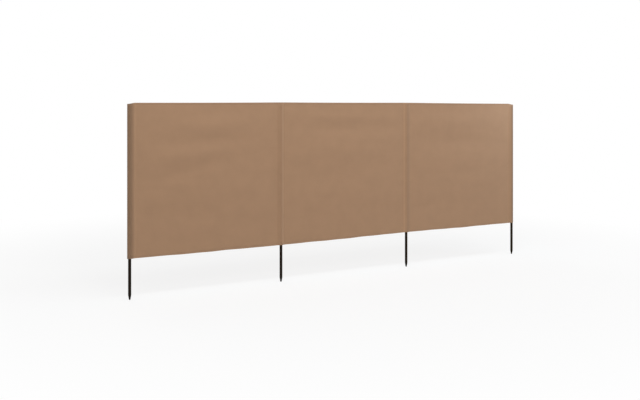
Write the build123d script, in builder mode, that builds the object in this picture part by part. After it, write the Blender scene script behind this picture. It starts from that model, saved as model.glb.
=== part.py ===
"""Fabric windbreak: cloth bays hung on pointed tube poles that push into the ground.

Millimetres. X runs along the screen from the first pole to the last, and Z is up.
The front of the cloth faces minus Y. The origin is the middle of the blunt tip of the
first pole's spike.
"""

import os

from build123d import *

# The whole screen
bay_count = 3
overall_length = 4000.0
cloth_height = 1200.0
stake_length = 315.0

# The tube poles and the plugs in their ends
pole_diameter = 24.0
pole_wall = 0.8
spike_cone_length = 36.0
spike_tip_diameter = 11.0
spike_spigot_length = 45.0
cap_head_height = 4.5
cap_spigot_length = 25.0
plug_rib_thickness = 3.0

# The cloth: one layer of a sleeve or hem, and the panel sewn between two layers
layer_thickness = 1.0
panel_thickness = 1.2
hem_height = 18.0
flap_width = 8.0

# The tunnels: from the pole's axis to the stitch line, and to an end tunnel's fold
middle_stitch_reach = 35.0
end_stitch_reach = 46.0
end_fold_reach = 20.0
end_fold_radius = 2.5

# How far a tunnel takes to narrow over its cap, and how slack it is at its top seam
closing_height = 28.0
seam_slack = 0.4

# Sizes that follow from the ones above
pole_count = bay_count + 1
bay_pitch = (overall_length - 2 * end_fold_reach) / bay_count
cloth_top = stake_length + cloth_height
ceiling_height = cloth_top - layer_thickness
closing_start = ceiling_height - closing_height
pole_radius = pole_diameter / 2
pole_bore_radius = pole_radius - pole_wall
panel_half = panel_thickness / 2
sewn_thickness = panel_thickness + 2 * layer_thickness
seam_radius = panel_half + seam_slack
pole_top = closing_start - cap_head_height
pole_length = pole_top - spike_cone_length
panel_height = cloth_height - 2 * layer_thickness


def is_end(pole_index):
    """Whether a pole is the first or the last of the run."""
    return pole_index in (0, pole_count - 1)


def stitch_reach(pole_index):
    """How far from its pole's axis a tunnel is sewn shut."""
    return end_stitch_reach if is_end(pole_index) else middle_stitch_reach


def sewn_sides(pole_index):
    """The sides of a pole on which its tunnel is sewn to a panel."""
    sides = []
    if pole_index > 0:
        sides.append(-1)
    if pole_index < pole_count - 1:
        sides.append(1)
    return sides


def tunnel_section(pole_index, height, round_radius, fold_radius, layer):
    """Cloth pulled taut from the stitch lines round a pole, grown by a layer."""
    reach = stitch_reach(pole_index)
    fold_centre = end_fold_reach - layer_thickness - end_fold_radius
    with BuildSketch(Plane.XY.offset(height)) as section:
        Circle(round_radius + layer)
        for side in (-1, 1):
            if side in sewn_sides(pole_index):
                with BuildLine():
                    Line(
                        (side * reach, -panel_half - layer),
                        (side * reach, panel_half + layer),
                    )
            else:
                with Locations((side * fold_centre, 0)):
                    Circle(fold_radius + layer)
        make_hull()
    return section.sketch


def tunnel_flaps(pole_index, height, layer):
    """The flat strips outside the stitch lines, where the panels are sewn in."""
    with BuildSketch(Plane.XY.offset(height)) as flaps:
        for side in sewn_sides(pole_index):
            with Locations((side * (stitch_reach(pole_index) + flap_width / 2), 0)):
                Rectangle(flap_width, panel_thickness + 2 * layer)
    return flaps.sketch


def tunnel_body(pole_index, layer):
    """The tunnel's solid form: straight up the pole, then narrowing over the cap."""
    with BuildPart() as body:
        add(tunnel_section(pole_index, stake_length, pole_radius, end_fold_radius, layer))
        extrude(amount=closing_start - stake_length)
        add(tunnel_section(pole_index, closing_start, pole_radius, end_fold_radius, layer))
        add(tunnel_section(pole_index, ceiling_height, seam_radius, seam_radius, layer))
        loft(ruled=True)
        add(tunnel_flaps(pole_index, stake_length, layer))
        extrude(amount=ceiling_height - stake_length)
    return body.part


def make_pole():
    """Straight steel tube, open at both ends."""
    with BuildPart() as pole:
        with BuildSketch(Plane.XY.offset(spike_cone_length)):
            Circle(pole_radius)
            Circle(pole_bore_radius, mode=Mode.SUBTRACT)
        extrude(amount=pole_length)
    return pole.part


def plug_ribs(height):
    """Cross of ribs that grips the inside of a tube."""
    with BuildSketch(Plane.XY.offset(height)) as ribs:
        Rectangle(pole_diameter, plug_rib_thickness)
        Rectangle(plug_rib_thickness, pole_diameter)
        Circle(pole_bore_radius, mode=Mode.INTERSECT)
    return ribs.sketch


def make_spike():
    """Blunt cone that the tube stands on, with a ribbed spigot inside the tube."""
    with BuildPart() as spike:
        with BuildSketch():
            Circle(spike_tip_diameter / 2)
        with BuildSketch(Plane.XY.offset(spike_cone_length)):
            Circle(pole_radius)
        loft(ruled=True)
        add(plug_ribs(spike_cone_length))
        extrude(amount=spike_spigot_length)
    return spike.part


def make_cap():
    """Flat disc over the tube's top, with a ribbed spigot inside the tube."""
    with BuildPart() as cap:
        with BuildSketch(Plane.XY.offset(pole_top)):
            Circle(pole_radius)
        extrude(amount=cap_head_height)
        add(plug_ribs(pole_top))
        extrude(amount=-cap_spigot_length)
    return cap.part


def make_sleeve(pole_index):
    """Tunnel of two cloth layers round a pole, with flaps that hold the panels."""
    with BuildPart() as sleeve:
        add(tunnel_body(pole_index, layer_thickness))
        add(tunnel_section(pole_index, ceiling_height, seam_radius, seam_radius, layer_thickness))
        add(tunnel_flaps(pole_index, ceiling_height, layer_thickness))
        extrude(amount=layer_thickness)
        add(tunnel_body(pole_index, 0), mode=Mode.SUBTRACT)
    return sleeve.part


def make_panel(length):
    """One bay of cloth, flat, from stitch line to stitch line."""
    with BuildPart() as panel:
        with BuildSketch(Plane.XY.offset(stake_length + layer_thickness)):
            Rectangle(length, panel_thickness, align=(Align.MIN, Align.CENTER))
        extrude(amount=panel_height)
    return panel.part


def make_hem(length, edge_height, inward):
    """Cloth folded over a panel's edge; inward is the way from the fold to the panel."""
    fold_radius = sewn_thickness / 2
    with BuildPart() as hem:
        with BuildSketch(Plane.YZ):
            with Locations((0, edge_height + inward * fold_radius)):
                Circle(fold_radius)
            with Locations((0, edge_height + inward * (hem_height + fold_radius) / 2)):
                Rectangle(sewn_thickness, hem_height - fold_radius)
            with Locations((0, edge_height + inward * (hem_height + layer_thickness) / 2)):
                Rectangle(panel_thickness, hem_height - layer_thickness, mode=Mode.SUBTRACT)
        extrude(amount=length)
    return hem.part


def save(shape, name, distance):
    """Writes one sub-part at its distance along the screen."""
    placed = shape.moved(Location((distance, 0, 0)))
    placed.label = name
    export_step(placed, f"parts/{name}.step")


os.makedirs("parts", exist_ok=True)

pole = make_pole()
spike = make_spike()
cap = make_cap()

for index in range(pole_count):
    pole_at = index * bay_pitch
    save(pole, f"pole_{index + 1}", pole_at)
    save(spike, f"spike_{index + 1}", pole_at)
    save(cap, f"cap_{index + 1}", pole_at)
    save(make_sleeve(index), f"sleeve_{index + 1}", pole_at)

for index in range(bay_count):
    panel_start = index * bay_pitch + stitch_reach(index)
    panel_end = (index + 1) * bay_pitch - stitch_reach(index + 1)
    hem_start = panel_start + flap_width
    hem_length = panel_end - flap_width - hem_start
    save(make_panel(panel_end - panel_start), f"panel_{index + 1}", panel_start)
    save(make_hem(hem_length, cloth_top, -1), f"top_hem_{index + 1}", hem_start)
    save(make_hem(hem_length, stake_length, 1), f"bottom_hem_{index + 1}", hem_start)
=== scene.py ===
"""Dresses the fabric windbreak: real cloth, stitching, dark poles, a pale studio and the camera."""

import math

import bpy
import numpy as np
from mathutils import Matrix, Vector


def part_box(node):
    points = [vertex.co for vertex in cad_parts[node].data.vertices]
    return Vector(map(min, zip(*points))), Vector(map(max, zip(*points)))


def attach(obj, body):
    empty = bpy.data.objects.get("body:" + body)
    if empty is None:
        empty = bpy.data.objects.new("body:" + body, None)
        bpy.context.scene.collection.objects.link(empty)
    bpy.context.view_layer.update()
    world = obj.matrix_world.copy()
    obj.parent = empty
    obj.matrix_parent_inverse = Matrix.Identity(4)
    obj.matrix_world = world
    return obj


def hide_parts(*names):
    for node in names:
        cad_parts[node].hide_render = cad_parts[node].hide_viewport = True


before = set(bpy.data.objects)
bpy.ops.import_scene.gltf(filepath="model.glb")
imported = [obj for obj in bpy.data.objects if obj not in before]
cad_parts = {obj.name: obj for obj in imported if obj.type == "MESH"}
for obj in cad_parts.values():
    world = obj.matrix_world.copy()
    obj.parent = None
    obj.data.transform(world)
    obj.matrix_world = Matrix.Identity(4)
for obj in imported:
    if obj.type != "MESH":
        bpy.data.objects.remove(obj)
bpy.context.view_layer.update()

# Places read from the CAD, in metres
POLE_X = [(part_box(f"pole_{n}")[0].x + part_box(f"pole_{n}")[1].x) / 2 for n in (1, 2, 3, 4)]
POLE_R = (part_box("pole_1")[1].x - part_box("pole_1")[0].x) / 2
CLOTH_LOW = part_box("sleeve_1")[0].z
CLOTH_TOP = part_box("sleeve_1")[1].z
CAP_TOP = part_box("cap_1")[1].z
FOLD_REACH = POLE_X[0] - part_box("sleeve_1")[0].x
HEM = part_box("top_hem_1")[1].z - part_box("top_hem_1")[0].z
RUN = POLE_X[3] - POLE_X[0]

# How the cloth sits: its radius round the poles, higher up and at the bottom hem, and at the top seam
ROUND = POLE_R + 0.0006
LOW_ROUND = POLE_R + 0.0014
SEAM_ROUND = 0.0008

# The stitch lines of the end tunnels, and those left and right of each inner pole. The inner ones
# follow the photograph, where the CAD spaces them evenly.
END_STITCH = 0.046
STITCHES = {1: (0.033, 0.026), 2: (0.033, 0.044)}

# An end tunnel's outer fold: its radius beyond that of the top seam, and how far inside the CAD's it lies
FOLD_GROWTH = 0.0026
FOLD_INSET = 0.0004

# The front face's distance from the flat plane, a hem's step to its inner layer, and a flap's lap
HALF_PLY = 0.0003
PLY = 0.0009
BACK = 0.0014

# The visible hem lines, and a pocket strip's flap outside its stitch lines
HEM_STITCH = 0.016
STRIP_FLAP = 0.009


def smooth(t):
    """0 up to t = 0 and 1 from t = 1, with an even curve between."""
    t = np.clip(t, 0.0, 1.0)
    return t * t * (3 - 2 * t)


def mesh_object(name, points, faces, uv=None, painted_light=None):
    """A smooth mesh in the scene. uv gives a place to each point; the last argument gives each point its
    painted shade and painted highlight.
    """
    mesh = bpy.data.meshes.new(name)
    mesh.from_pydata([tuple(p) for p in points], [], [tuple(f) for f in faces])
    if painted_light is not None:
        mesh.attributes.new("painted_light", "FLOAT", "POINT").data.foreach_set("value", np.asarray(painted_light, np.float32))
    if uv is not None:
        layer = mesh.uv_layers.new(name="UVMap")
        loops = np.zeros(len(mesh.loops), np.int32)
        mesh.loops.foreach_get("vertex_index", loops)
        layer.data.foreach_set("uv", np.asarray(uv, np.float32)[loops].ravel())
    mesh.polygons.foreach_set("use_smooth", [True] * len(mesh.polygons))
    mesh.update()
    obj = bpy.data.objects.new(name, mesh)
    bpy.context.scene.collection.objects.link(obj)
    return obj


def grid_faces(columns, rows, flip=False):
    """Four-sided faces between points that are numbered column by column."""
    i, j = np.meshgrid(np.arange(columns - 1), np.arange(rows - 1), indexing="ij")
    a = (i * rows + j).ravel()
    b = a + rows
    quads = np.stack([a, b, b + 1, a + 1], 1)
    return quads[:, ::-1] if flip else quads


# The cloth's soft shape between the poles: how far it stands forward of flat, in metres
rng = np.random.default_rng(11)

# Each wrinkle: middle along the run, middle height, half length, half height, depth, slope
WRINKLES = [
    (0.72, 1.335, 0.36, 0.075, 0.0111, 0.01),
    (0.80, 1.200, 0.40, 0.055, -0.0059, 0.02),
    (0.30, 1.120, 0.30, 0.060, 0.0059, -0.05),
    (0.55, 0.985, 0.55, 0.060, -0.0062, 0.21),
    (0.50, 1.095, 0.50, 0.060, 0.0060, 0.19),
    (0.95, 0.800, 0.25, 0.060, 0.0052, 0.10),
    (0.35, 0.620, 0.35, 0.070, -0.0059, -0.04),
    (1.98, 1.385, 0.46, 0.045, 0.0050, 0.00),
    (1.98, 1.285, 0.46, 0.055, -0.0086, 0.00),
    (1.95, 1.100, 0.42, 0.070, 0.0065, 0.00),
    (2.30, 1.200, 0.30, 0.060, 0.0039, 0.01),
    (1.80, 0.900, 0.55, 0.090, -0.0052, 0.06),
    (2.20, 0.700, 0.42, 0.080, 0.0047, -0.06),
    (1.60, 0.520, 0.25, 0.060, -0.0047, 0.05),
    (3.20, 1.335, 0.50, 0.075, 0.0078, 0.01),
    (3.27, 1.150, 0.50, 0.080, -0.0111, 0.02),
    (3.40, 0.960, 0.45, 0.080, 0.0052, 0.10),
    (3.45, 0.760, 0.35, 0.080, 0.0052, 0.14),
    (2.95, 0.560, 0.30, 0.070, -0.0047, 0.04),
]


def bay_middle(x):
    """1 in the middle of each bay and 0 at its poles."""
    share = np.zeros_like(x)
    for left, right in zip(POLE_X[:-1], POLE_X[1:]):
        inside = (x >= left) & (x <= right)
        share = np.where(inside, (x - left) / (right - left), share)
    return np.sin(np.pi * np.clip(share, 0, 1))


# Many slight wrinkles besides, in the same terms
GRAIN = [
    (rng.uniform(0, RUN), rng.uniform(CLOTH_LOW, CLOTH_TOP), rng.uniform(0.10, 0.34),
     rng.uniform(0.018, 0.050), rng.uniform(-0.0011, 0.0011), rng.uniform(-0.12, 0.12))
    for _ in range(150)
]


def slack(x, z):
    """How far the cloth stands in front of its flat plane. It is held flat at the poles."""
    middle = bay_middle(x)
    hold = smooth(middle * 3.2)
    y = np.zeros_like(x)
    for x0, z0, long, high, deep, slope in WRINKLES + GRAIN:
        u = (x - x0) / long
        v = (z - z0 - slope * (x - x0)) / high
        y = y + deep * np.exp(-(u * u + v * v))
    height = (z - CLOTH_LOW) / (CLOTH_TOP - CLOTH_LOW)
    belly = 0.004 * middle * np.sin(np.pi * np.clip(height, 0, 1))
    return (y + belly) * hold


# How far the edges lie above their straight line at each pole, in metres, fitted to the photograph
TOP_RISE = [0.0, 0.0062, 0.0066, 0.0]
LOW_RISE = [0.0, -0.0045, 0.0045, 0.0]


def edge_drop(x):
    """How far the top edge and its corners hang, and how far the bottom edge rises."""
    middle = bay_middle(x)
    top = 0.0012 * middle - np.interp(x, POLE_X, TOP_RISE)
    low = np.interp(x, POLE_X, LOW_RISE) - 0.0015 * middle
    low += (0.0012 * np.sin(x * 9.1) + 0.0009 * np.sin(x * 23.7 + 1.0)) * middle
    corner = 0.009 * (smooth((POLE_X[0] + 0.05 - x) / 0.07) + smooth((x - POLE_X[3] + 0.05) / 0.07))
    return top, corner, low


def edge_shift(z, drop, corner, lift):
    """How far a point at z moves with the edges. The corners sag only above the caps."""
    height = (z - CLOTH_LOW) / (CLOTH_TOP - CLOTH_LOW)
    over_cap = (z - CAP_TOP - 0.002) / (CLOTH_TOP - CAP_TOP - 0.002)
    shift = lift * smooth((0.5 - height) * 2) - drop * smooth((height - 0.5) * 2)
    return shift - corner * smooth(over_cap)


def round_radius(z):
    """The radius that the front layer goes round: the pole's, less above the cap."""
    body = LOW_ROUND + (ROUND - LOW_ROUND) * smooth((z - CLOTH_LOW - HEM) / 0.02)
    seam = CLOTH_TOP - 0.0015
    closing = np.clip((seam - z) / (seam - CAP_TOP), 0, 1)
    closing = np.sin(closing * np.pi / 2) ** 0.9
    return SEAM_ROUND + (body - SEAM_ROUND) * closing


def taut(dx, radius, reach):
    """Height of a cloth pulled from a round bar's middle to a stitch line at reach."""
    reach = np.maximum(reach, radius * 1.3)
    touch = radius * radius / reach
    lift = np.sqrt(np.maximum(radius * radius - touch * touch, 0))
    on_bar = np.sqrt(np.maximum(radius * radius - dx * dx, 0))
    falling = lift * (1 - (dx - touch) / (reach - touch))
    return np.where(dx < touch, on_bar, np.where(dx < reach, falling, 0.0))


def bulge(x, z):
    """How far the cloth stands off its plane where it passes over the inner poles."""
    radius = round_radius(z)
    y = np.zeros_like(x)
    for n, (left, right) in STITCHES.items():
        dx = x - POLE_X[n]
        y = y + np.where(dx < 0, taut(-dx, radius, left), taut(dx, radius, right))
    return y


def pucker(x, z):
    """The shallow valley that the stitch lines pull into the cloth."""
    y = np.zeros_like(x)
    for n, (left, right) in STITCHES.items():
        for at in (POLE_X[n] - left, POLE_X[n] + right):
            wave = 0.75 + 0.25 * np.sin(z * 2 * np.pi / 0.043 + at * 50) * np.sin(z * 2 * np.pi / 0.171 + at)
            y = y - 0.0014 * wave * np.exp(-(((x - at) / 0.0035) ** 2))
            y = y + 0.0007 * np.exp(-(((x - at) / 0.014) ** 2))
    for at in (POLE_X[0] + END_STITCH, POLE_X[3] - END_STITCH):
        wave = 0.75 + 0.25 * np.sin(z * 2 * np.pi / 0.047 + at * 50)
        y = y - 0.0014 * wave * np.exp(-(((x - at) / 0.0035) ** 2))
        y = y + 0.0008 * np.exp(-(((x - at) / 0.014) ** 2))
    for at in (CLOTH_TOP - HEM + 0.002, CLOTH_LOW + HEM - 0.002):
        wave = 0.7 + 0.3 * np.sin(x * 2 * np.pi / 0.037 + at * 7) * np.sin(x * 2 * np.pi / 0.21)
        y = y - 0.0009 * wave * np.exp(-(((z - at) / 0.003) ** 2))
    return y


def hull_plan(radius, fold, centre):
    """Half plan of an end tunnel from its inner stitch round to the fold's outside.

    x is outward from the pole, and y is the half thickness."""
    x_touch = -radius * radius / END_STITCH
    y_touch = math.sqrt(max(radius * radius - x_touch * x_touch, 0))
    gap = max(centre, 1e-6)
    lean = math.asin(max(-1.0, min(1.0, (radius - fold) / gap)))
    out = []
    for t in np.linspace(0, 1, 10, endpoint=False):
        out.append((-END_STITCH + (x_touch + END_STITCH) * t, y_touch * t))
    start = math.atan2(y_touch, x_touch)
    end = math.pi / 2 - lean
    for t in np.linspace(0, 1, 9, endpoint=False):
        a = start + (end - start) * t
        out.append((radius * math.cos(a), radius * math.sin(a)))
    p = np.array([radius * math.cos(end), radius * math.sin(end)])
    q = np.array([centre + fold * math.cos(end), fold * math.sin(end)])
    for t in np.linspace(0, 1, 4, endpoint=False):
        out.append(tuple(p + (q - p) * t))
    for t in np.linspace(0, 1, 7):
        a = end * (1 - t)
        out.append((centre + fold * math.cos(a), fold * math.sin(a)))
    return np.array(out)


def end_section(z):
    """Plan of an end tunnel at z, from the front stitch round the pole to the back flap's end."""
    radius = float(round_radius(np.array([z]))[0])
    share = (radius - SEAM_ROUND) / (ROUND - SEAM_ROUND)
    fold = SEAM_ROUND + FOLD_GROWTH * min(share, 1.0)
    plan = hull_plan(max(radius, fold + 1e-4), fold, FOLD_REACH - FOLD_INSET - fold)
    front = [(x, -y - HALF_PLY) for x, y in plan]
    back = [(x, y + HALF_PLY + BACK * smooth(-x / END_STITCH)) for x, y in plan[::-1][1:]]
    flap = [(-END_STITCH - 0.0025 * m, HALF_PLY + BACK * min(1, m / 2) + 0.0002) for m in (1, 2, 3, 4)]
    return np.array(front + back + flap)


def end_columns(side, z_values):
    """Columns of the cloth round an end pole, from the front stitch to the back flap.

    Gives the points as an array (columns, rows, 3), and the directions inward as (columns, rows, 2)."""
    pole = POLE_X[0] if side < 0 else POLE_X[3]
    plans = np.stack([end_section(z) for z in z_values], 1)
    pts = np.zeros((*plans.shape[:2], 3))
    pts[:, :, 0] = pole + side * plans[:, :, 0]
    pts[:, :, 1] = plans[:, :, 1]
    pts[:, :, 2] = z_values
    along = np.gradient(pts[:, :, :2], axis=0)
    along = along / (np.linalg.norm(along, axis=2, keepdims=True) + 1e-9)
    inward = np.stack([-along[:, :, 1] * side, along[:, :, 0] * side], 2)
    return pts, inward


def run_columns():
    """Places of the columns between the end tunnels, closer together at every stitch line."""
    start, end = POLE_X[0] + END_STITCH, POLE_X[3] - END_STITCH
    near = 0.02
    xs = list(np.arange(start, end, 0.0095))
    for n, (left, right) in STITCHES.items():
        first, last = POLE_X[n] - left - near, POLE_X[n] + right + near
        xs = [x for x in xs if not first < x < last]
        xs += list(np.linspace(first, last, 62))
    xs = [x for x in xs if start + near < x < end - near]
    xs += list(np.linspace(start, start + near, 9)) + list(np.linspace(end - near, end, 9))
    return np.array(sorted(xs))


# Distances of the hems' rows from the edge
FOLD_ROW = 0.0006
HEM_ROWS = (0.003, 0.007, 0.0105, 0.013, 0.0145, HEM_STITCH, 0.0175)


def rows():
    """Heights of the front face's rows, closer together at the hems and just above the caps."""
    near = (FOLD_ROW, *HEM_ROWS, 0.019, 0.022)
    low = [CLOTH_LOW + h for h in (*near, 0.027)]
    high = [CLOTH_TOP - h for h in (*near, 0.025)]
    mid = np.linspace(CLOTH_LOW + 0.036, CLOTH_TOP - 0.036, 98)
    return np.array(sorted([*low, *mid, CAP_TOP + 0.0006, *high]))


Z = rows()
X = run_columns()
XX, ZZ = np.meshgrid(X, Z, indexing="ij")
middle = np.zeros((len(X), len(Z), 3))
middle[:, :, 0] = XX
middle[:, :, 1] = -HALF_PLY - bulge(XX, ZZ) - slack(XX, ZZ) - pucker(XX, ZZ)
middle[:, :, 2] = ZZ

left_pts, left_in = end_columns(-1, Z)
right_pts, right_in = end_columns(1, Z)
left_pts, left_in = left_pts[::-1][:-1], left_in[::-1][:-1]
right_pts, right_in = right_pts[1:], right_in[1:]
middle_in = np.zeros((len(X), len(Z), 2))
middle_in[:, :, 1] = 1.0
front = np.concatenate([left_pts, middle, right_pts], 0)
inward = np.concatenate([left_in, middle_in, right_in], 0)

# The edges rise and hang a little, and the hems fold inward
front[:, :, 2] += edge_shift(front[:, :, 2], *edge_drop(front[:, :, 0]))


def hem_rows(edge_row, direction):
    """Rows of the folded part, from the edge inward, behind the front face."""
    base = front[:, edge_row, :]
    inn = inward[:, edge_row, :]
    out = []
    fold = PLY / 2
    for a in (30, 65, 100, 140, 180):
        r = math.radians(a)
        p = base.copy()
        p[:, :2] += inn * fold * (1 - math.cos(r))
        p[:, 2] -= direction * fold * math.sin(r) * 1.1
        out.append(p)
    for h in HEM_ROWS:
        k = int(np.argmin(np.abs((Z - Z[edge_row]) * direction - h)))
        p = front[:, k, :].copy()
        p[:, :2] += inward[:, k, :] * PLY
        p[:, 2] = base[:, 2] + direction * h
        out.append(p)
    return out


bottom = hem_rows(0, 1.0)
top = hem_rows(len(Z) - 1, -1.0)
stack = bottom[::-1] + [front[:, k, :] for k in range(len(Z))] + top
cloth_points = np.stack(stack, 1)
columns, row_count = cloth_points.shape[:2]
step = np.linalg.norm(np.diff(cloth_points[:, row_count // 2, :2], axis=0), axis=1)
run_at = np.concatenate([[0], np.cumsum(step)])
rise = np.linalg.norm(np.diff(cloth_points[columns // 2, :, 1:], axis=0), axis=1)
rise_at = np.concatenate([[0], np.cumsum(rise)])
uv = np.stack(np.meshgrid(run_at, rise_at, indexing="ij"), 2).reshape(-1, 2)


def painted_light_map(points):
    """Painted shade and painted highlight in the cloth's colour: doubled cloth, and a dark pole behind a
    thin layer, are painted darker, as the light through them would fall.

    Each inner pole has a painted dark dip over the pole, a painted dim tail across its tunnel and a painted
    light seam; the end tunnels and the hem edges are painted darker too. The amounts are fitted to the
    photograph pole by pole, so all of this is painted shade and painted highlight."""
    x, z = points[:, :, 0], points[:, :, 2]
    painted_light = np.ones_like(x)
    # Inner poles: painted shade over the pole and across its tunnel, a painted highlight along the seam and
    # a thin painted shade beyond it
    for n, side, pole_shade, tunnel_shade, light in ((1, 1, 0.055, 0.030, 0.08), (2, -1, 0.045, 0.110, 0.13)):
        dx = (x - POLE_X[n]) * side
        seam = STITCHES[n][1] if side > 0 else STITCHES[n][0]
        far = STITCHES[n][0] if side > 0 else STITCHES[n][1]
        painted_light -= pole_shade * np.exp(-((dx / 0.013) ** 2))
        painted_light -= tunnel_shade * smooth((dx + far) / 0.018) * smooth((0.004 - dx) / 0.008)
        painted_light += light * np.exp(-(((dx - seam + 0.007) / 0.007) ** 2))
        painted_light -= 0.030 * np.exp(-(((dx - seam - 0.004) / 0.004) ** 2))
    # End tunnels: painted shade over the doubled cloth and the pole, and a painted highlight at the stitch
    # line
    for pole, side, reach, end_shade in ((POLE_X[0], 1, 0.047, 0.36), (POLE_X[3], -1, 0.028, 0.42)):
        dx = (x - pole) * side
        painted_light -= end_shade * smooth((reach - dx) / 0.044)
        painted_light += 0.07 * np.exp(-(((dx - END_STITCH) / 0.006) ** 2))
    # Painted shade along the doubled hems at the top and bottom
    edge = np.maximum(z - (CLOTH_TOP - HEM), (CLOTH_LOW + HEM) - z)
    painted_light -= 0.05 * smooth(edge / 0.003)
    return painted_light


# The cloth's colour carries the painted shade and painted highlight worked out above
screen = mesh_object(
    "screen_cloth", cloth_points.reshape(-1, 3), grid_faces(columns, row_count), uv,
    painted_light=painted_light_map(cloth_points).ravel(),
)


def pocket_strip(n, left, right):
    """The strip behind an inner pole that closes its tunnel, with its flat width and height."""
    xs = np.concatenate([
        np.linspace(-left - STRIP_FLAP, -left, 7),
        np.linspace(-left, right, 45)[1:-1],
        np.linspace(right, right + STRIP_FLAP, 7),
    ])
    zs = np.concatenate([
        [CLOTH_LOW + 0.0012, CLOTH_LOW + 0.004],
        np.linspace(CLOTH_LOW + 0.012, CLOTH_TOP - 0.05, 76),
        np.linspace(CLOTH_TOP - 0.045, CLOTH_TOP - 0.0022, 14),
    ])
    DX, SZ = np.meshgrid(xs, zs, indexing="ij")
    SX = DX + POLE_X[n]
    radius = round_radius(SZ)
    lift_back = np.where(DX < 0, taut(-DX, radius, left), taut(DX, radius, right))
    base_y = 0.0019 - slack(SX, SZ) - pucker(SX, SZ) * 0.5
    y = base_y * np.clip(1 - lift_back / 0.012, 0, 1) + lift_back + 0.0004
    # Its top is sewn down on the back of the cloth
    sewn = PLY + 0.0001 - bulge(SX, SZ) - slack(SX, SZ) - pucker(SX, SZ)
    y = y + (sewn - y) * smooth((SZ - CLOTH_TOP + 0.014) / 0.0115)
    z = SZ + edge_shift(SZ, *edge_drop(SX))
    pts = np.stack([SX, y, z], 2)
    strip_uv = np.stack([DX, SZ], 2).reshape(-1, 2)
    # The strip's colour is painted 5% darker: painted shade of the doubled cloth
    strip = mesh_object(
        f"pocket_strip_{n + 1}", pts.reshape(-1, 3), grid_faces(len(xs), len(zs), True), strip_uv,
        painted_light=np.full(pts.shape[0] * pts.shape[1], 0.95),
    )
    round_pole = 0.008
    return strip, left + right + 2 * STRIP_FLAP + round_pole, zs[-1] - zs[0]


strips = [pocket_strip(n, left, right) for n, (left, right) in STITCHES.items()]


def stitch_mesh(name, places):
    """One mesh of threads, each at (point, direction along it, direction out of the cloth)."""
    points, faces = [], []
    half, wide, high = 0.0013, 0.00028, 0.00022
    for p, d, n in places:
        s = np.cross(n, d)
        k = len(points)
        points += [p - d * half, p + d * half, p + s * wide, p - s * wide, p + n * high]
        faces += [(k, k + 3, k + 4), (k + 3, k + 1, k + 4), (k + 1, k + 2, k + 4), (k + 2, k, k + 4)]
    return mesh_object(name, points, faces)


def sample_cloth(x, z, off):
    """The point of the cloth's front at x and z, moved back by off."""
    column = left_count + float(np.interp(x, X, np.arange(len(X))))
    row = first_front + float(np.interp(z, Z, np.arange(len(Z))))
    i = int(np.clip(column, 0, columns - 2))
    j = int(np.clip(row, 0, row_count - 2))
    u, v = column - i, row - j
    a = cloth_points[i, j] * (1 - u) + cloth_points[i + 1, j] * u
    b = cloth_points[i, j + 1] * (1 - u) + cloth_points[i + 1, j + 1] * u
    return a * (1 - v) + b * v + np.array([0, off, 0])


def stitch_line(start, stop, x=None, z=None, off=-0.0002, out=-1.0):
    """Stitches from start to stop, up the cloth at x or along it at z.

    off is the threads' place behind the front face, and out is the way they stand out in Y."""
    pitch = 0.0036
    line = []
    for m in range(int((stop - start) / pitch)):
        at = start + (m + 0.5) * pitch
        ends = [(at, z), (at + 0.002, z)] if x is None else [(x, at), (x, at + 0.002)]
        p, q = [sample_cloth(*end, off) for end in ends]
        d = (q - p) / (np.linalg.norm(q - p) + 1e-9)
        line.append((p, d, np.array([0.0, out, 0.0])))
    return line


# Stitching: short threads along every sewn line, front and back
first_front = len(bottom)
left_count = len(left_pts)
places = []
LOW_END, HIGH_END = CLOTH_LOW + 0.002, CLOTH_TOP - 0.002
for z in (CLOTH_TOP - HEM_STITCH, CLOTH_LOW + HEM_STITCH):
    places += stitch_line(X[0], X[-1], z=z)
    places += stitch_line(X[0], X[-1], z=z, off=PLY + 0.0002, out=1.0)
for n, (left, right) in STITCHES.items():
    for x in (POLE_X[n] - left, POLE_X[n] + right):
        places += stitch_line(LOW_END, HIGH_END, x=x)
        places += stitch_line(LOW_END, HIGH_END - 0.002, x=x, off=0.0028, out=1.0)
for x in (POLE_X[0] + END_STITCH, POLE_X[3] - END_STITCH):
    places += stitch_line(LOW_END, HIGH_END, x=x)
threads = stitch_mesh("stitching", places)


def principled(name, color, roughness):
    """A plain material and its shader node."""
    material = bpy.data.materials.new(name)
    material.use_nodes = True
    node = material.node_tree.nodes["Principled BSDF"]
    node.inputs["Base Color"].default_value = (*color, 1.0)
    node.inputs["Roughness"].default_value = roughness
    return material, node


def link(tree, a, a_name, b, b_name):
    """Joins output a_name of node a to input b_name of node b."""
    tree.links.new(a.outputs[a_name], b.inputs[b_name])


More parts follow.
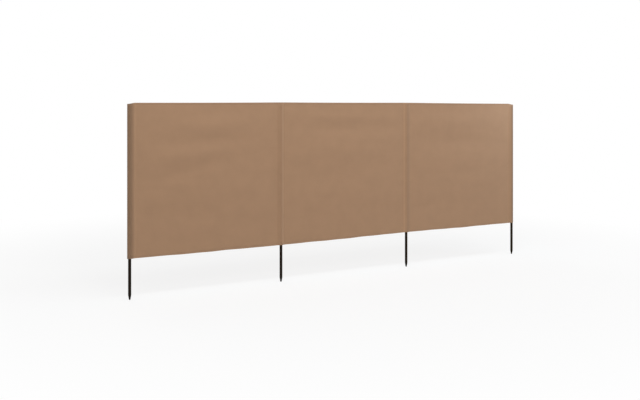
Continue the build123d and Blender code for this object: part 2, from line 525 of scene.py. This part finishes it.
def cloth_material(name, color):
    """Plain weave: fine crossed threads, slightly uneven, with the painted shade and painted highlight
    stored on the cloth's points.
    """
    material, shader = principled(name, color, 0.82)
    shader.inputs["Sheen Weight"].default_value = 0.12
    shader.inputs["Sheen Roughness"].default_value = 0.5
    shader.inputs["Specular IOR Level"].default_value = 0.25
    tree = material.node_tree
    uvs = tree.nodes.new("ShaderNodeUVMap")
    uvs.uv_map = "UVMap"
    waves = []
    for axis in ("X", "Y"):
        wave = tree.nodes.new("ShaderNodeTexWave")
        wave.wave_type = "BANDS"
        wave.bands_direction = axis
        wave.inputs["Scale"].default_value = 420.0
        wave.inputs["Distortion"].default_value = 0.35
        wave.inputs["Detail"].default_value = 1.0
        link(tree, uvs, "UV", wave, "Vector")
        waves.append(wave)
    cross = tree.nodes.new("ShaderNodeMath")
    cross.operation = "ADD"
    link(tree, waves[0], "Fac", cross, 0)
    link(tree, waves[1], "Fac", cross, 1)
    bump = tree.nodes.new("ShaderNodeBump")
    bump.inputs["Strength"].default_value = 0.35
    bump.inputs["Distance"].default_value = 0.00015
    link(tree, cross, "Value", bump, "Height")
    link(tree, bump, "Normal", shader, "Normal")
    uneven = tree.nodes.new("ShaderNodeTexNoise")
    uneven.inputs["Scale"].default_value = 9.0
    uneven.inputs["Detail"].default_value = 6.0
    link(tree, uvs, "UV", uneven, "Vector")
    ramp = tree.nodes.new("ShaderNodeMapRange")
    ramp.inputs["From Min"].default_value = 0.3
    ramp.inputs["From Max"].default_value = 0.7
    ramp.inputs["To Min"].default_value = 0.97
    ramp.inputs["To Max"].default_value = 1.03
    link(tree, uneven, "Fac", ramp, "Value")
    mix = tree.nodes.new("ShaderNodeVectorMath")
    mix.operation = "SCALE"
    mix.inputs[0].default_value = color
    # Painted shade and painted highlight, read from the cloth's points, scale the colour
    painted_light_node = tree.nodes.new("ShaderNodeAttribute")
    painted_light_node.attribute_name = "painted_light"
    both = tree.nodes.new("ShaderNodeMath")
    both.operation = "MULTIPLY"
    link(tree, ramp, "Result", both, 0)
    link(tree, painted_light_node, "Fac", both, 1)
    link(tree, both, "Value", mix, "Scale")
    link(tree, mix, "Vector", shader, "Base Color")
    return material


def tube_material(name, color, roughness, bump_scale):
    """Dark paint or plastic with a fine grain."""
    material, shader = principled(name, color, roughness)
    shader.inputs["Specular IOR Level"].default_value = 0.08
    tree = material.node_tree
    where = tree.nodes.new("ShaderNodeTexCoord")
    noise = tree.nodes.new("ShaderNodeTexNoise")
    noise.inputs["Scale"].default_value = bump_scale
    noise.inputs["Detail"].default_value = 3.0
    link(tree, where, "Object", noise, "Vector")
    bump = tree.nodes.new("ShaderNodeBump")
    bump.inputs["Strength"].default_value = 0.12
    bump.inputs["Distance"].default_value = 0.0002
    link(tree, noise, "Fac", bump, "Height")
    link(tree, bump, "Normal", shader, "Normal")
    return material


# Materials
cloth = cloth_material("taupe_cloth", (0.361, 0.2175, 0.1275))
thread = principled("taupe_thread", (0.30, 0.18, 0.11), 0.8)[0]
tube = tube_material("dark_tube", (0.012, 0.007, 0.003), 0.55, 900.0)
plug = tube_material("dark_plug", (0.010, 0.007, 0.004), 0.65, 500.0)

for piece in (screen, strips[0][0], strips[1][0]):
    piece.data.materials.append(cloth)
    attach(piece, "root")
threads.data.materials.append(thread)
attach(threads, "root")

for name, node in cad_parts.items():
    node.data.materials.clear()
    if name.startswith("pole_"):
        node.data.materials.append(tube)
    elif name.startswith(("spike_", "cap_")):
        node.data.materials.append(plug)
    else:
        node.data.materials.append(cloth)

soft = [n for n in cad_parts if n.startswith(("panel_", "top_hem_", "bottom_hem_", "sleeve_"))]
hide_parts(*[n for n in soft if n not in ("sleeve_2", "sleeve_3")])
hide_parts("sleeve_2")
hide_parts("sleeve_3")


def seen_rays(tree):
    """A node that gives 1 to rays of the camera, a reflection or a refraction, and 0 to others."""
    path = tree.nodes.new("ShaderNodeLightPath")
    seen = tree.nodes.new("ShaderNodeMath")
    seen.operation = "MAXIMUM"
    link(tree, path, "Is Camera Ray", seen, 0)
    link(tree, path, "Is Glossy Ray", seen, 1)
    seen_all = tree.nodes.new("ShaderNodeMath")
    seen_all.operation = "MAXIMUM"
    link(tree, seen, "Value", seen_all, 0)
    link(tree, path, "Is Transmission Ray", seen_all, 1)
    return seen_all


def make_floor():
    """A floor, pale and lit near the screen, that fades to plain white farther off."""
    bpy.ops.mesh.primitive_plane_add(size=120.0, location=(2.0, 0.0, -0.0005))
    floor = bpy.context.object
    floor.name = "floor"
    floor_mat, floor_shader = principled("pale_floor", (0.90, 0.90, 0.90), 0.9)
    floor_shader.inputs["Specular IOR Level"].default_value = 0.0
    tree = floor_mat.node_tree
    where = tree.nodes.new("ShaderNodeNewGeometry")
    away = tree.nodes.new("ShaderNodeVectorMath")
    away.operation = "DISTANCE"
    away.inputs[1].default_value = (2.0, 0.6, 0.0)
    link(tree, where, "Position", away, 0)
    fade = tree.nodes.new("ShaderNodeMapRange")
    fade.interpolation_type = "SMOOTHSTEP"
    fade.inputs["From Min"].default_value = 1.6
    fade.inputs["From Max"].default_value = 5.0
    fade.inputs["To Min"].default_value = 0.78
    link(tree, away, "Value", fade, "Value")
    amount = tree.nodes.new("ShaderNodeMath")
    amount.operation = "MULTIPLY"
    link(tree, fade, "Result", amount, 0)
    link(tree, seen_rays(tree), "Value", amount, 1)
    white = tree.nodes.new("ShaderNodeEmission")
    white.inputs["Color"].default_value = (1.0, 1.0, 1.0, 1.0)
    white.inputs["Strength"].default_value = 1.0
    blend = tree.nodes.new("ShaderNodeMixShader")
    link(tree, amount, "Value", blend, 0)
    tree.links.new(floor_shader.outputs["BSDF"], blend.inputs[1])
    tree.links.new(white.outputs["Emission"], blend.inputs[2])
    tree.links.new(blend.outputs["Shader"], tree.nodes["Material Output"].inputs["Surface"])
    floor.data.materials.append(floor_mat)


def make_world():
    """White where the camera, a reflection or a refraction sees it, and softer as a light."""
    world = bpy.data.worlds.new("studio")
    bpy.context.scene.world = world
    world.use_nodes = True
    tree = world.node_tree
    background = tree.nodes["Background"]
    background.inputs["Color"].default_value = (1.0, 1.0, 1.0, 1.0)
    strength = tree.nodes.new("ShaderNodeMapRange")
    strength.inputs["To Min"].default_value = 0.50
    strength.inputs["To Max"].default_value = 1.0
    link(tree, seen_rays(tree), "Value", strength, "Value")
    link(tree, strength, "Result", background, "Strength")


def lamp(name, place, target, power, across, down=None, color=(1.0, 1.0, 1.0)):
    """An area lamp at place that faces target."""
    data = bpy.data.lights.new(name, "AREA")
    data.energy = power
    data.size = across
    data.color = color
    if down:
        data.shape = "RECTANGLE"
        data.size_y = down
    obj = bpy.data.objects.new(name, data)
    bpy.context.scene.collection.objects.link(obj)
    obj.location = place
    aim = Vector(target) - Vector(place)
    obj.rotation_mode = "QUATERNION"
    obj.rotation_quaternion = aim.to_track_quat("-Z", "Y")
    return obj


# Studio. The corner lamp copies the brighter upper right of the cloth in the photograph.
make_floor()
make_world()
lamp("key", (1.0, -15.0, 10.5), (2.0, 0.0, 1.0), 430.0, 5.0)
lamp("over", (1.5, -1.9, 3.9), (1.5, 0.0, 1.0), 72.0, 7.0, 0.8)
lamp("rear", (2.0, 14.0, 9.0), (2.0, 0.0, 0.8), 300.0, 6.0)
lamp("corner", (4.45, -0.60, 2.0), (3.85, 0.0, 1.40), 6.2, 0.5, color=(0.72, 0.86, 1.0))

# Camera, from the photograph's perspective
camera_data = bpy.data.cameras.new("camera")
camera = bpy.data.objects.new("camera", camera_data)
bpy.context.scene.collection.objects.link(camera)
bpy.context.scene.camera = camera
heading = math.radians(31.82)
camera.location = (-2.188, -6.492, 1.483)
camera.rotation_euler = (math.radians(90.0), 0.0, -heading)
camera_data.sensor_width = 36.0
camera_data.lens = 48.80
camera_data.shift_x = -0.0204
camera_data.shift_y = -0.1455

view_settings = bpy.context.scene.view_settings
view_settings.view_transform = "Standard"
